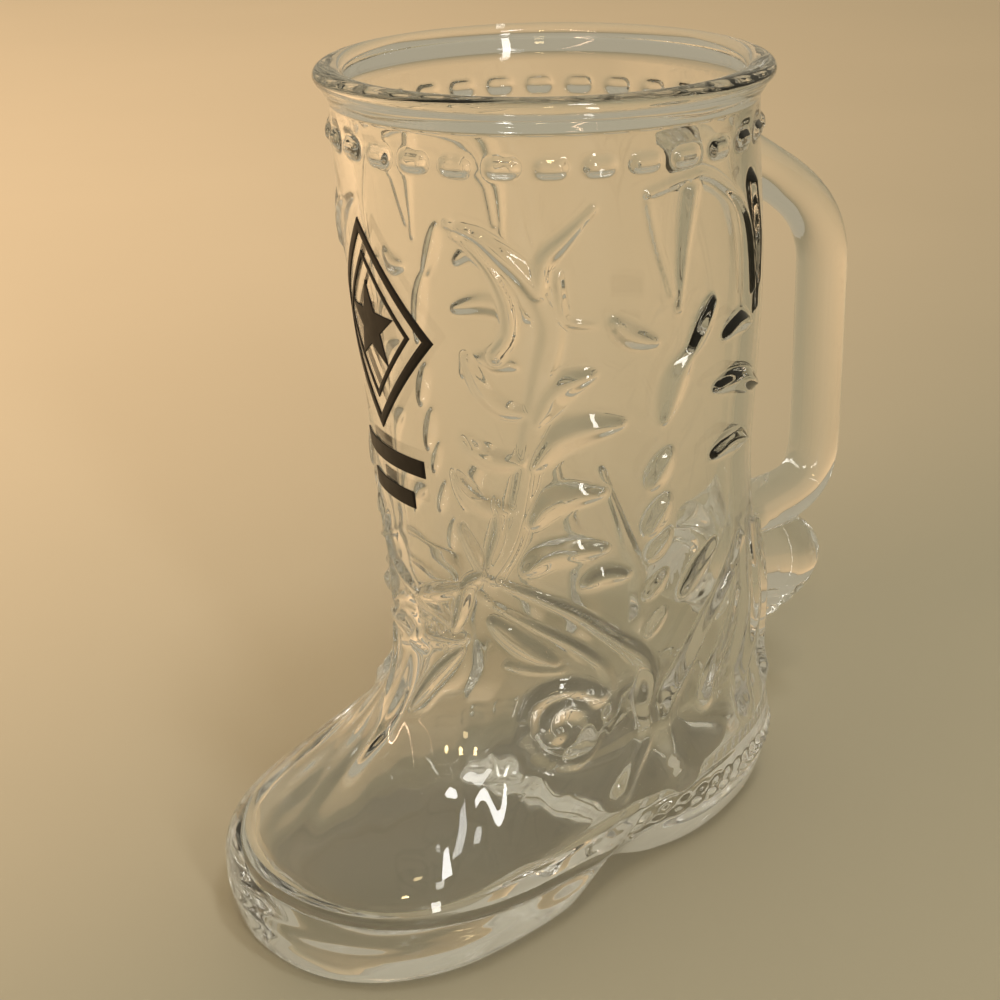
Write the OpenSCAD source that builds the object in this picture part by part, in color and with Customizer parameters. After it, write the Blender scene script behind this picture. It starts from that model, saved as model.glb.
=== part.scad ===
// Boot-shaped drinking glass: a moulded glass boot, a glass handle fused to its back, and a fired print.
// The boot stands on z = 0 with its toe towards -X and its handle towards +X.
// Reaches are measured forward or back from the mouth's axis, and widths across the boot.

/* [Mouth] */
// Height from the table to the top of the rim bead
boot_h = 149.8; // [138:0.2:164]
// Outside diameter of the rim bead
mouth_d = 79.2; // [76:0.2:86]
// Thickness of the rim bead, across the glass
bead_w = 5.2; // [4:0.1:7]
// Height of the rim bead
bead_h = 3.6; // [2.8:0.1:4.6]
// Drop from the top of the bead to the foot of the flare under it
flare_drop = 5.9; // [5:0.1:8]
// Outside diameter of the leg under the flare
collar_d = 74; // [70:0.2:78]
// Height of the plain collar under the top of the bead
collar_h = 11.8; // [10:0.2:18]

/* [Leg] */
// Height of the throat, where the leg's front turns into the vamp
throat_z = 69.4; // [60:0.2:80]
// Reach of the throat
throat_reach = 31.3; // [27:0.1:35]
// Width across the ankle
ankle_w = 52.4; // [48:0.2:58]
// Height of the narrowest ankle
ankle_z = 29.8; // [26:0.2:36]
// Depth of the hollow behind the ankle
hollow = 3.6; // [0:0.1:5]
// Height of that hollow
hollow_z = 72.5; // [60:0.5:80]
// Height over which that hollow fades, each way
hollow_span = 45; // [30:1:55]

/* [Foot] */
// Reach of the toe
toe_reach = 71.4; // [64:0.2:78]
// Height of the toe's upper edge
toe_z = 19.2; // [16:0.2:23]
// Softness of the toe's upper edge
toe_soft = 3.5; // [1:0.1:6]
// Fullness of the vamp at the toe
vamp_start = 0.95; // [0.7:0.05:1.3]
// Steepness of the vamp
vamp_fall = 2.7; // [2:0.05:3.2]
// How far the instep's section is drawn to a ridge
ridge = 0.7; // [0:0.05:0.8]
// Reach of the heel
heel_reach = 49.7; // [45:0.1:54]
// Height of the fullest heel
heel_z = 21.5; // [15:0.5:28]
// Width across the ball of the foot
ball_w = 64.2; // [58:0.2:70]
// Height of the fullest ball
ball_z = 15.3; // [12:0.1:18]
// Reach of the widest part of the ball
ball_reach = 36.4; // [28:0.2:42]
// Share of the width taken off at the waist of the sole
waist = 0.19; // [0:0.01:0.3]
// Reach of the middle of the waist and of the arch
arch_reach = 9; // [4:0.5:14]
// Length of the arch
arch_l = 28; // [18:1:36]
// Height of the arch over the table
arch_h = 3; // [0:0.1:5]
// How far the sole's side edge is rounded under
side_tuck = 5.8; // [3:0.1:8]
// How far the sole's toe edge is rounded under
toe_tuck = 2.8; // [1:0.1:5]
// How far the heel's edge is rounded under
heel_tuck = 1.4; // [0.4:0.1:4]
// Height of the welt line over the table
welt_z = 11; // [8:0.5:13]
// How far the sole stands out under the welt line
welt_out = 0.6; // [0:0.1:1.2]
// How much squarer than an oval the toe's outline is
toe_square = 0.3; // [0:0.05:0.6]
// How much squarer than an oval the heel's outline is
heel_square = 0.8; // [0:0.05:1]

/* [Relief] */
// Height of the moulded relief over the leg and the foot
relief_h = 1.4; // [0.4:0.1:1.6]
// Radius of the spiral on the side of the foot
spiral_r = 7.4; // [6.4:0.2:8]

/* [Glass] */
// Thickness of the leg's wall
leg_wall = 3.4; // [2.8:0.1:4.5]
// Thickness of the foot's wall
foot_wall = 4.4; // [3.4:0.1:6]
// Extra drop of the cavity's roof under the vamp
vamp_drop = 2; // [0:0.1:4]
// Thickness of the bottom
base_t = 8; // [6:0.5:12]
// Radius between the cavity's floor and its walls
floor_r = 9; // [5:0.5:12]

/* [Handle] */
// Thickness of the handle's bar
bar_d = 10.5; // [9:0.1:12]
// Reach of the bar's outer face
handle_reach = 82.8; // [76:0.2:90]
// Thickness of the bar where it meets the leg
root_d = 13.5; // [11:0.1:16]
// Drop from the top of the rim to the upper root
root_drop = 19.8; // [16.8:0.2:28]
// Drop from the top of the rim to the place where the bar turns to the upper root
bar_top_drop = 51.8; // [44:0.2:58]
// Height where the bar turns to the lower root
bar_low_z = 66; // [58:0.5:74]
// Height where the bar runs into the boot
low_root_z = 49.5; // [47:0.5:54]
// Drop from there to the fullest part of the folded root
pad_drop = 12; // [10:0.5:13]
// How far the folded root stands out from the boot
pad_out = 27.5; // [22:0.5:30]
// Width of the folded root
pad_w = 17; // [15:0.5:20]
// How far the tail's tip stands out from the boot
tail_out = 15.5; // [11:0.5:18]
// Width of the tail's tip
tail_w = 8; // [6:0.5:11]
// Drop from the fullest part of the folded root to the tail's tip
tail_drop = 10.5; // [8:0.5:12]
// Number of crimps from the folded root to the tail's tip
crimps = 8; // [8:1:10]

/* [Print] */
// Thickness of the enamel
film = 0.25; // [0.2:0.05:0.4]
// Angle of the print's middle from the toe, to the boot's right
print_turn = 14; // [0:1:30]
// Drop from the top of the rim to the badge's middle
badge_drop = 42; // [34:1:50]
// Width of the badge
badge_w = 32; // [24:1:38]
// Height of the badge
badge_h = 38; // [28:1:42]
// Width of the badge's lines
line_w = 1.6; // [1:0.1:2.4]
// Radius of the star's points
star_r = 8; // [5:0.5:8.5]
// Length of the upper bar under the badge
bar_l = 22; // [16:1:26]
// Height of the bars under the badge
bar_h = 3.2; // [2:0.1:4]
// Gap from the badge to the bars, and between them
bar_gap = 3.4; // [2:0.1:5]

/* [Hidden] */
collar_r = collar_d / 2;
collar_z = boot_h - collar_h;
bead_r = mouth_d / 2 - bead_w / 2;
bead_z = boot_h - bead_h / 2;
ball_half = ball_w / 2;
ankle_half = ankle_w / 2;
badge_z = boot_h - badge_drop;
root_z = boot_h - root_drop;
bar_top_z = boot_h - bar_top_drop;
pad_z = low_root_z - pad_drop;
// Heights at which the section changes, and over which it does
welt_edge = 1.6;
sole_edge = 3;
instep_z = 38;
instep_span = 24;
shaft_z = 47.8;
toe_square_z = 30;
toe_square_span = 20;
heel_square_z = 80;
heel_square_span = 70;
// The waist of the sole lies a little behind the arch and fades over this length
waist_back = 5;
waist_l = 13;
// Where round the outline the heel's squareness gives way to the toe's
side_blend = 0.5;
// Spacing of the rings that the boot is drawn through
columns = 72;
inner_columns = columns / 2;
side_crowd = 8.6;
edge_crowd = 2.3;
body_step = 2.5;
body_gap = 2;
cavity_step = 7.4;
sole_rows = 5;
sole_ease = 1.4;
floor_rows = 5;
bead_step = 33.75;
bead_rows_out = 4;
bead_rows_in = 1;
// Bends of the handle's bar, as pulls on its curves
root_sink = 1.5;
root_pull = 24;
root_fall = 9;
top_pull = 15;
low_pull = 18;
pad_pull = 4;
upper_steps = 12;
lower_steps = 9;
flare_steps = 5;
press_steps = 3;
sides = 14;
// Rolls of the folded root and its tail
pad_r = 8.2;
tail_r = 2.6;
roll_thin = 1.1;
roll_slope = 1.8;
roll_climb = 0.25;
roll_least = 0.5;
// Lines of the relief on one side of the boot: half width, its share at the start and at the end,
// then places: a turn from the toe, and a rise of 0 at the table, 100 at the throat and 200 at the collar
vamp_line = [3.7, 0.7, 0.9, [[24, 95], [42, 89], [66, 73], [79, 62], [93, 52], [100, 42], [98, 36]]];
horn_lines = [
  [4, 0.6, 1, [[21, 188], [34, 181], [43, 171]]],
  [4, 0.6, 1, [[62, 191], [51, 183], [43, 171]]],
  [4, 1, 0.9, [[43, 172], [46, 160], [43, 134], [38, 107], [28, 96]]]
];
leaf_lines = [
  [3.8, 0.5, 0.5, [[53, 142], [60, 149], [73, 151]]],
  [4, 0.5, 0.5, [[52, 122], [60, 128], [75, 128]]],
  [4, 0.5, 0.5, [[49, 103], [56, 107], [70, 105]]],
  [3.8, 0.5, 0.5, [[96, 142], [108, 142], [124, 134]]],
  [3.8, 0.5, 0.5, [[92, 117], [103, 119], [119, 113]]]
];
strap_lines = [
  [3.3, 0.8, 1, [[83, 159], [84, 177], [86, 190]]],
  [3.3, 0.8, 1, [[116, 158], [117, 174], [115, 189]]]
];
heel_lines = [
  [4.6, 0.5, 1, [[110, 90], [98, 72], [97, 57], [106, 40]]],
  [4.5, 0.5, 1, [[125, 90], [125, 72], [131, 42]]],
  [4.5, 0.5, 1, [[143, 86], [148, 64], [153, 42]]]
];
// Place of the spiral, its turns, and the turn and the rise that a millimetre makes there
spiral_at = [62, 51];
spiral_w = 3;
spiral_turns = 0.95;
spiral_in = 0.55;
spiral_points = 10;
spiral_turn = 1.3;
spiral_rise = 1.25;
relief_step = 1.5;
relief_fade = 1.6;
// Proportions of the print
star_points = 5;
star_in = 0.42;
inner_share = 0.7;
bar_taper = 0.3;
$fn = 16;

// Shape helpers

function unit(t) = min(max(t, 0), 1);
function ease(t) = let (c = unit(t)) c * c * (3 - 2 * c);
function hill(t) = pow(cos(90 * min(abs(t), 1)), 2);
function spow(v, p) = sign(v) * pow(abs(v), p);
function flat(list) = [for (part = list) for (v = part) v];

// Profiles of the boot's outside, at a height

function leg_front(z) =
  throat_reach + (collar_r - throat_reach) * unit((z - throat_z) / (collar_z - throat_z));
function vamp_front(z) =
  let (rise = z - toe_z)
  let (t = unit((rise + sqrt(rise * rise + toe_soft * toe_soft)) / 2 / (throat_z - toe_z)))
  toe_reach - (toe_reach - throat_reach) * (1 - pow(1 - pow(t, vamp_start), vamp_fall));
function front(z) =
  (z > throat_z ? leg_front(z) : vamp_front(z)) - toe_tuck * pow(unit(1 - z / toe_z), 2);
function back(z) =
  collar_r
  + (heel_reach - collar_r) * unit((collar_z - z) / (collar_z - heel_z))
  - hollow * hill((z - hollow_z) / hollow_span)
  - heel_tuck * pow(unit(1 - z / heel_z), 2);
function half(z) =
  ankle_half
  + (collar_r - ankle_half) * sin(90 * unit((z - ankle_z) / (collar_z - ankle_z)))
  + (ball_half - ankle_half) * ease((ankle_z - z) / (ankle_z - ball_z))
  - side_tuck * pow(unit(1 - z / ball_z), 2);

// Reach of the widest place, and how square the outline is before and behind it
function widest(z) =
  let (k = ease((shaft_z - z) / (shaft_z - welt_z / 2)))
  (1 - k) * (front(z) - back(z)) / 2 + k * ball_reach;
function front_power(z) =
  2
  + toe_square * ease((toe_square_z - z) / toe_square_span)
  - ridge * hill((z - instep_z) / instep_span);
function back_power(z) = 2 + heel_square * ease((heel_square_z - z) / heel_square_span);

// Waist and arch under the foot, and the welt round it
function waist_at(reach, z) =
  let (t = (reach - arch_reach + waist_back) / waist_l)
  1 - waist * exp(-t * t) * unit(1 - z / (2 * welt_z));
function arch_at(reach, z) =
  arch_h * hill((reach - arch_reach) / (arch_l / 2)) * unit(1 - z / ball_z);
function welt_at(z) = welt_out * ease((welt_z - z) / welt_edge) * ease(z / sole_edge);

// A point on an outline: turn is measured from the toe
function outline(turn, z, f, b, w, c) =
  let (power = back_power(z) + (front_power(z) - back_power(z)) * ease(cos(turn) + side_blend))
  let (reach = c + (cos(turn) >= 0 ? f - c : c + b) * spow(cos(turn), 2 / power))
  [-reach, w * spow(sin(turn), 2 / power) * waist_at(reach, z), z];

function outside(turn, z, out = 0) =
  let (o = out + welt_at(z))
  let (p = outline(turn, z, front(z) + o, back(z) + o, half(z) + o, widest(z)))
  [p.x, p.y, z + arch_at(-p.x, z)];

function wall(z) = foot_wall + (leg_wall - foot_wall) * ease((z - ankle_z) / (throat_z - ankle_z));
function fillet(z) = let (t = unit((z - base_t) / floor_r)) floor_r * (1 - sqrt(1 - pow(1 - t, 2)));
function inside(turn, z) =
  let (o = wall(z) + fillet(z))
  outline(turn, z, front(z + vamp_drop) - o, back(z) - o, half(max(z, ball_z)) - o, widest(z));

// Relief: smooth ridges along lines over the boot's outside, the same on both sides

function rise_z(rise) =
  rise < 100 ? throat_z * rise / 100 : throat_z + (collar_z - throat_z) * (rise - 100) / 100;
function on_boot(place) = outside(place[0], rise_z(place[1]));
// A smooth curve through places, one unit of t from each to the next
function through(places, t) =
  let (i = min(floor(t), len(places) - 2))
  let (f = t - i)
  let (b = places[i])
  let (c = places[i + 1])
  let (a = i > 0 ? places[i - 1] : 2 * b - c)
  let (d = i + 2 < len(places) ? places[i + 2] : 2 * c - b)
  (2 * b + (c - a) * f + (2 * a - 5 * b + 4 * c - d) * f * f + (3 * b - a - 3 * c + d) * f * f * f) / 2;
function swell(t, first, last) =
  t < 0.5 ? first + (1 - first) * ease(2 * t) : last + (1 - last) * ease(2 - 2 * t);
function line_length(places) =
  let (p = [for (place = places) on_boot(place)])
  [for (i = [1:len(p) - 1]) norm(p[i] - p[i - 1])] * [for (i = [1:len(p) - 1]) 1];
// A line as spots on the boot: each has its place and the half width there
function spots(line) =
  let (places = line[3])
  let (steps = ceil(line_length(places) / relief_step))
  [
    for (k = [0:steps])
      [on_boot(through(places, (len(places) - 1) * k / steps)), line[0] * swell(k / steps, line[1], line[2])]
  ];
spiral_line = [spiral_w, 0.8, 0.9, [
  for (k = [0:spiral_points])
    let (r = spiral_r * (1 - (1 - spiral_in) * k / spiral_points))
    let (a = 360 * spiral_turns * k / spiral_points)
    spiral_at + r * [spiral_turn * cos(a), spiral_rise * sin(a)]
]];
relief_spots = flat([
  for (line = concat([vamp_line, spiral_line], horn_lines, leaf_lines, strap_lines, heel_lines)) spots(line)
]);
function relief_at(turn, z) =
  let (p = outside(turn, z))
  let (q = [p.x, abs(p.y), p.z])
  let (near = [for (s = relief_spots) if (abs(s[0].z - z) < s[1]) 1 - pow(norm(q - s[0]) / s[1], 2)])
  relief_h * pow(max(0, max(concat([0], near))), relief_fade);

// Rings of the boot, from the table up the outside, over the bead and down the cavity

// Turns of a ring's points from the toe, closer together on the boot's sides
function crowded(a) = a + side_crowd * sin(2 * a) + edge_crowd * sin(4 * a);
turns = [for (i = [0:columns - 1]) crowded(360 * i / columns)];
inner_turns = [for (i = [0:inner_columns - 1]) turns[2 * i]];
function round_ring(r, z, ring_turns) = [for (a = ring_turns) [-r * cos(a), r * sin(a), z]];
function inner_ring(z) = [for (a = inner_turns) inside(a, z)];

outer_heights = [
  for (k = [0:sole_rows]) (welt_z - welt_edge) * pow(k / sole_rows, sole_ease),
  for (z = [welt_z:body_step:collar_z - body_gap]) z,
  collar_z
];
cavity_heights = [
  for (z = [collar_z - cavity_step:-cavity_step:base_t + floor_r]) z,
  for (k = [floor_rows - 1:-1:0]) base_t + floor_r * pow(k / floor_rows, 2)
];

toe_most = max([for (z = outer_heights) front(z) + welt_at(z)]);
axis_x = (toe_most - handle_reach) / 2;

relief_rows = [for (z = outer_heights) [for (a = turns) relief_at(a, z)]];
function outer_rings(out) = [
  for (r = [0:len(outer_heights) - 1])
    [for (i = [0:columns - 1]) outside(turns[i], outer_heights[r], out + relief_rows[r][i])]
];
neck_z = boot_h - flare_drop;
bead_rings = [
  for (k = [-bead_rows_out:bead_rows_in])
    let (t = 90 + bead_step * k)
    round_ring(bead_r + bead_w / 2 * cos(t), bead_z + bead_h / 2 * sin(t), turns)
];
mouth_r = bead_r - bead_w / 2;
cavity_rings = concat(
  [round_ring(mouth_r, bead_z, inner_turns), round_ring(collar_r - leg_wall, collar_z, inner_turns)],
  [for (z = cavity_heights) inner_ring(z)]
);

// Faces between rings, and across a ring

function band(lower, upper, n) = [
  for (i = [0:n - 1])
    let (j = (i + 1) % n)
    for (t = [[lower + i, upper + j, upper + i], [lower + i, lower + j, upper + j]]) t
];
function halving_band(lower, upper, n) = [
  for (i = [0:n - 1])
    let (j = (i + 1) % n)
    let (a = lower + 2 * i)
    let (c = lower + (2 * i + 2) % (2 * n))
    for (t = [[a, a + 1, upper + i], [a + 1, upper + j, upper + i], [a + 1, c, upper + j]]) t
];
// A cap in strips from side to side, so that it follows the arch
function strips(start, n, turned) = [
  for (i = [0:n / 2 - 1])
    let (a = start + i)
    let (b = start + i + 1)
    let (c = start + n - i - 1)
    let (d = start + (n - i) % n)
    for (t = i == 0 ? [[a, b, c]] : i == n / 2 - 1 ? [[a, b, d]] : [[a, b, c], [a, c, d]])
      turned ? t : [t[2], t[1], t[0]]
];

module boot_shell() {
  outer = concat(outer_rings(0), [round_ring(collar_r, neck_z, turns)], bead_rings);
  points = concat(flat(outer), flat(cavity_rings));
  rows = len(outer);
  start = rows * columns;
  cavity_rows = len(cavity_rings);
  last = start + (cavity_rows - 1) * inner_columns;
  polyhedron(points, concat(
    strips(0, columns, false),
    flat([for (r = [0:rows - 2]) band(r * columns, (r + 1) * columns, columns)]),
    halving_band((rows - 1) * columns, start, inner_columns),
    flat([
      for (r = [0:cavity_rows - 2])
        band(start + r * inner_columns, start + (r + 1) * inner_columns, inner_columns)
    ]),
    strips(last, inner_columns, true)
  ));
}

// The boot's outside as a solid, for seating the handle and the print on it
module boot_form(out) {
  rings = concat(outer_rings(out), [round_ring(collar_r + out, neck_z, turns)]);
  rows = len(rings);
  polyhedron(flat(rings), concat(
    strips(0, columns, false),
    flat([for (r = [0:rows - 2]) band(r * columns, (r + 1) * columns, columns)]),
    strips((rows - 1) * columns, columns, true)
  ));
}

module boot() {
  color([0.80, 0.88, 0.84, 0.4]) translate([axis_x, 0, 0]) boot_shell();
}

// Handle

bar_x = handle_reach - bar_d / 2;
root_x = back(root_z) - root_sink;
low_root_x = back(low_root_z);

function bezier(p, t) =
  p[0] * pow(1 - t, 3)
  + 3 * p[1] * t * pow(1 - t, 2)
  + 3 * p[2] * t * t * (1 - t)
  + p[3] * pow(t, 3);

upper_bend = [
  [root_x, root_z],
  [root_x + root_pull, root_z - root_fall],
  [bar_x, bar_top_z + top_pull],
  [bar_x, bar_top_z]
];
lower_bend = [
  [bar_x, bar_low_z],
  [bar_x, bar_low_z - low_pull],
  [bar_x - pad_pull, low_root_z],
  [low_root_x, low_root_z]
];
bar_path = concat(
  [for (i = [0:upper_steps]) bezier(upper_bend, i / upper_steps)],
  [for (i = [0:lower_steps]) bezier(lower_bend, i / lower_steps)]
);
function bar_radius(i) =
  let (flare = ease(1 - i / flare_steps))
  let (press = ease((i - upper_steps - press_steps) / lower_steps))
  bar_d / 2 + (root_d - bar_d) / 2 * (flare + press);
function path_slope(i) =
  let (d = bar_path[min(i + 1, len(bar_path) - 1)] - bar_path[max(i - 1, 0)])
  d / norm(d);
function bar_ring(i) =
  let (p = bar_path[i])
  let (d = path_slope(i))
  let (r = bar_radius(i))
  [
    for (s = [0:sides - 1])
      let (a = 360 * s / sides)
      [p[0] - d[1] * r * cos(a), r * sin(a), p[1] + d[0] * r * cos(a)]
  ];

module handle_bar() {
  rings = len(bar_path);
  points = flat([for (i = [0:rings - 1]) bar_ring(i)]);
  last = (rings - 1) * sides;
  polyhedron(points, concat(
    strips(0, sides, false),
    flat([for (r = [0:rings - 2]) band(r * sides, (r + 1) * sides, sides)]),
    strips(last, sides, true)
  ));
}

// One crimp: a roll pressed across the folded root or its tail, carried back into the boot
module crimp(k) {
  t = k / (crimps - 1);
  z = pad_z - tail_drop * t;
  r = tail_r + (pad_r - tail_r) * pow(1 - t, roll_thin);
  out = pad_out + (tail_out - pad_out) * pow(t, roll_slope) - r;
  y = max((pad_w + (tail_w - pad_w) * t) / 2 - r, roll_least);
  hull() {
    for (side = [-y, y]) {
      translate([back(z) + out, side, z]) sphere(r);
      translate([back(z) - r, side, z + out * roll_climb]) sphere(r);
    }
  }
}

module handle() {
  color([0.78, 0.87, 0.83, 0.4])
    translate([axis_x, 0, 0])
      difference() {
        union() {
          handle_bar();
          for (k = [0:crimps - 1]) crimp(k);
        }
        boot_form(0);
      }
}

// Print: a star in a lozenge with two bars under it, carried straight onto the leg

module stroke(a, b, w) {
  hull() {
    translate(a) circle(w / 2);
    translate(b) circle(w / 2);
  }
}

module loop_of(points, w) {
  for (i = [0:len(points) - 1]) stroke(points[i], points[(i + 1) % len(points)], w);
}

function lozenge(w, h) = [[w / 2, 0], [0, h / 2], [-w / 2, 0], [0, -h / 2]];
function star(r) = [
  for (i = [0:2 * star_points - 1])
    let (q = i % 2 == 0 ? r : r * star_in)
    let (a = 180 * i / star_points)
    [q * sin(a), q * cos(a)]
];

module motif() {
  loop_of(lozenge(badge_w - line_w, badge_h - line_w), line_w);
  loop_of(lozenge(badge_w * inner_share, badge_h * inner_share), line_w / 2);
  polygon(star(star_r));
  for (k = [0, 1])
    translate([0, -badge_h / 2 - bar_gap - bar_h / 2 - k * (bar_h + bar_gap)])
      square([bar_l * (1 - bar_taper * k), bar_h], center = true);
}

module print() {
  color([0.16, 0.11, 0.07])
    translate([axis_x, 0, 0])
      difference() {
        intersection() {
          rotate([0, 0, -print_turn])
            translate([0, 0, badge_z])
              rotate([90, 0, -90])
                linear_extrude(mouth_d) motif();
          boot_form(film);
        }
        boot_form(0);
      }
}

boot();
handle();
print();
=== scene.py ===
"""Looks of a boot-shaped glass: the moulded boot with its relief, the handle, the print and the stage."""

import math

import bmesh
import bpy
import numpy as np
from mathutils import Matrix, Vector
from mathutils.bvhtree import BVHTree


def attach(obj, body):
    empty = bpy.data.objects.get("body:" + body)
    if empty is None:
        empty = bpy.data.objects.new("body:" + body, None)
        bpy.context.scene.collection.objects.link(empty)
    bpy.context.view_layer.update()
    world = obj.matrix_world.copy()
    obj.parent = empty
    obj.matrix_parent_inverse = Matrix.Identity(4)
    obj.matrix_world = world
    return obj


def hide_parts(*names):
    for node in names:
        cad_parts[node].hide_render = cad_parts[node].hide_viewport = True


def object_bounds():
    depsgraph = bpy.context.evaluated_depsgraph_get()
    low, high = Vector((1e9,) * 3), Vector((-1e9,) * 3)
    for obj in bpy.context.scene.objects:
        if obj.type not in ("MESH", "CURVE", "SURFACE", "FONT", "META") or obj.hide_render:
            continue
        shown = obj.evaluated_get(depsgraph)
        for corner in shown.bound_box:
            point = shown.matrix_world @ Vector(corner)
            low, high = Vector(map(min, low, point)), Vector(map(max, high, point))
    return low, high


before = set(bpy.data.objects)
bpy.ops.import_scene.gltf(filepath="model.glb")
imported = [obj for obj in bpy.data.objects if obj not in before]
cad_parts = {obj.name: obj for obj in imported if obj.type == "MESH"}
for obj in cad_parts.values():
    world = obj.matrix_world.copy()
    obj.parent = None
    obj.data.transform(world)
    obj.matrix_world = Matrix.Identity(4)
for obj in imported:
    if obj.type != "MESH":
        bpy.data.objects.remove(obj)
cad_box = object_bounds()

MM = 0.001

# The sizes in millimetres, as in the part's source, apart from the welt, which is softer here

BOOT_H = 149.8
MOUTH_D = 79.2
BEAD_W = 5.2
BEAD_H = 3.6
NECK_Z = BOOT_H - 5.9
COLLAR_R = 74 / 2
COLLAR_Z = BOOT_H - 11.8
THROAT_Z = 69.4
THROAT_REACH = 31.3
ANKLE_HALF = 52.4 / 2
ANKLE_Z = 29.8
HOLLOW = 3.6
HOLLOW_Z = 72.5
HOLLOW_SPAN = 45
TOE_REACH = 71.4
TOE_Z = 19.2
TOE_SOFT = 3.5
TOE_TUCK = 2.8
TOE_SQUARE = 0.3
TOE_SQUARE_Z = 30
TOE_SQUARE_SPAN = 20
VAMP_START = 0.95
VAMP_FALL = 2.7
RIDGE = 0.7
INSTEP_Z = 38
INSTEP_SPAN = 24
SHAFT_Z = 47.8
HEEL_REACH = 49.7
HEEL_Z = 21.5
HEEL_TUCK = 1.4
HEEL_SQUARE = 0.8
HEEL_SQUARE_Z = 80
HEEL_SQUARE_SPAN = 70
BALL_HALF = 64.2 / 2
BALL_Z = 15.3
BALL_REACH = 36.4
SIDE_TUCK = 5.8
SIDE_BLEND = 0.5
WAIST = 0.19
WAIST_BACK = 5
WAIST_L = 13
ARCH_REACH = 9
ARCH_HALF_L = 28 / 2
ARCH_H = 3
WELT_Z = 11
WELT_OUT = 0.25
WELT_EDGE = 4
SOLE_EDGE = 3
SOLE_ROUND = 1.2
LEG_WALL = 3.4
FOOT_WALL = 4.4
VAMP_DROP = 2
BASE_T = 8
FLOOR_R = 9

BEAD_R = MOUTH_D / 2 - BEAD_W / 2
BEAD_Z = BOOT_H - BEAD_H / 2

HANDLE_REACH = 82.8
BAR_D = 10.5
BAR_X = HANDLE_REACH - BAR_D / 2
BAR_TOP_Z = BOOT_H - 51.8
BAR_LOW_Z = 66
ROOT_D = 13.5
ROOT_Z = BOOT_H - 19.8
LOW_ROOT_Z = 49.5
PAD_Z = LOW_ROOT_Z - 12
PAD_OUT = 27.5
PAD_HALF = 17 / 2
PAD_R = 8.2
TAIL_DROP = 10.5
TAIL_OUT = 15.5
TAIL_HALF = 8 / 2
TAIL_R = 2.6

AXIS_X = cad_box[1].x / MM - HANDLE_REACH


def unit(t):
    return np.clip(t, 0, 1)


def ease(t):
    c = unit(t)
    return c * c * (3 - 2 * c)


def hill(t):
    return np.cos(np.pi / 2 * np.minimum(np.abs(t), 1)) ** 2


def signed_power(v, p):
    return np.sign(v) * np.abs(v) ** p


# The boot's outside and its cavity: reach towards the toe, side towards the boot's left, height


def front(z):
    leg = THROAT_REACH + (COLLAR_R - THROAT_REACH) * unit((z - THROAT_Z) / (COLLAR_Z - THROAT_Z))
    rise = z - TOE_Z
    t = unit((rise + np.sqrt(rise * rise + TOE_SOFT * TOE_SOFT)) / 2 / (THROAT_Z - TOE_Z))
    vamp = TOE_REACH - (TOE_REACH - THROAT_REACH) * (1 - (1 - t**VAMP_START) ** VAMP_FALL)
    return np.where(z > THROAT_Z, leg, vamp) - TOE_TUCK * unit(1 - z / TOE_Z) ** 2


def back(z):
    lean = (HEEL_REACH - COLLAR_R) * unit((COLLAR_Z - z) / (COLLAR_Z - HEEL_Z))
    hollow = HOLLOW * hill((z - HOLLOW_Z) / HOLLOW_SPAN)
    return COLLAR_R + lean - hollow - HEEL_TUCK * unit(1 - z / HEEL_Z) ** 2


def half(z):
    leg = (COLLAR_R - ANKLE_HALF) * np.sin(np.pi / 2 * unit((z - ANKLE_Z) / (COLLAR_Z - ANKLE_Z)))
    ball = (BALL_HALF - ANKLE_HALF) * ease((ANKLE_Z - z) / (ANKLE_Z - BALL_Z))
    return ANKLE_HALF + leg + ball - SIDE_TUCK * unit(1 - z / BALL_Z) ** 2


def widest(z):
    k = ease((SHAFT_Z - z) / (SHAFT_Z - WELT_Z / 2))
    return (1 - k) * (front(z) - back(z)) / 2 + k * BALL_REACH


def squareness(turn, z):
    toe = 2 + TOE_SQUARE * ease((TOE_SQUARE_Z - z) / TOE_SQUARE_SPAN)
    toe = toe - RIDGE * hill((z - INSTEP_Z) / INSTEP_SPAN)
    heel = 2 + HEEL_SQUARE * ease((HEEL_SQUARE_Z - z) / HEEL_SQUARE_SPAN)
    return heel + (toe - heel) * ease(np.cos(turn) + SIDE_BLEND)


def outline(turn, z, f, b, w, c):
    p = 2 / squareness(turn, z)
    reach = c + np.where(np.cos(turn) >= 0, f - c, c + b) * signed_power(np.cos(turn), p)
    t = (reach - ARCH_REACH + WAIST_BACK) / WAIST_L
    waist = 1 - WAIST * np.exp(-t * t) * unit(1 - z / (2 * WELT_Z))
    return reach, w * signed_power(np.sin(turn), p) * waist


def arch(reach, z):
    return ARCH_H * hill((reach - ARCH_REACH) / ARCH_HALF_L) * unit(1 - z / BALL_Z)


def outside(turn, z):
    welt = WELT_OUT * ease((WELT_Z - z) / WELT_EDGE) * ease(z / SOLE_EDGE)
    low = unit(1 - z / SOLE_ROUND)
    out = welt - SOLE_ROUND * (1 - np.sqrt(1 - low * low))
    reach, side = outline(turn, z, front(z) + out, back(z) + out, half(z) + out, widest(z))
    return np.stack([reach, side, z + arch(reach, z)], -1)


def inside(turn, z):
    wall = FOOT_WALL + (LEG_WALL - FOOT_WALL) * ease((z - ANKLE_Z) / (THROAT_Z - ANKLE_Z))
    t = unit((z - BASE_T) / FLOOR_R)
    wall = wall + FLOOR_R * (1 - np.sqrt(1 - (1 - t) ** 2))
    f = front(z + VAMP_DROP) - wall
    w = half(np.maximum(z, BALL_Z)) - wall
    reach, side = outline(turn, z, f, back(z) - wall, w, widest(z))
    return np.stack([reach, side, z + 0 * reach], -1)


# Meshes from rings of points


def to_frame(points):
    return np.stack([AXIS_X - points[..., 0], -points[..., 1], points[..., 2]], -1) * MM


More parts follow.
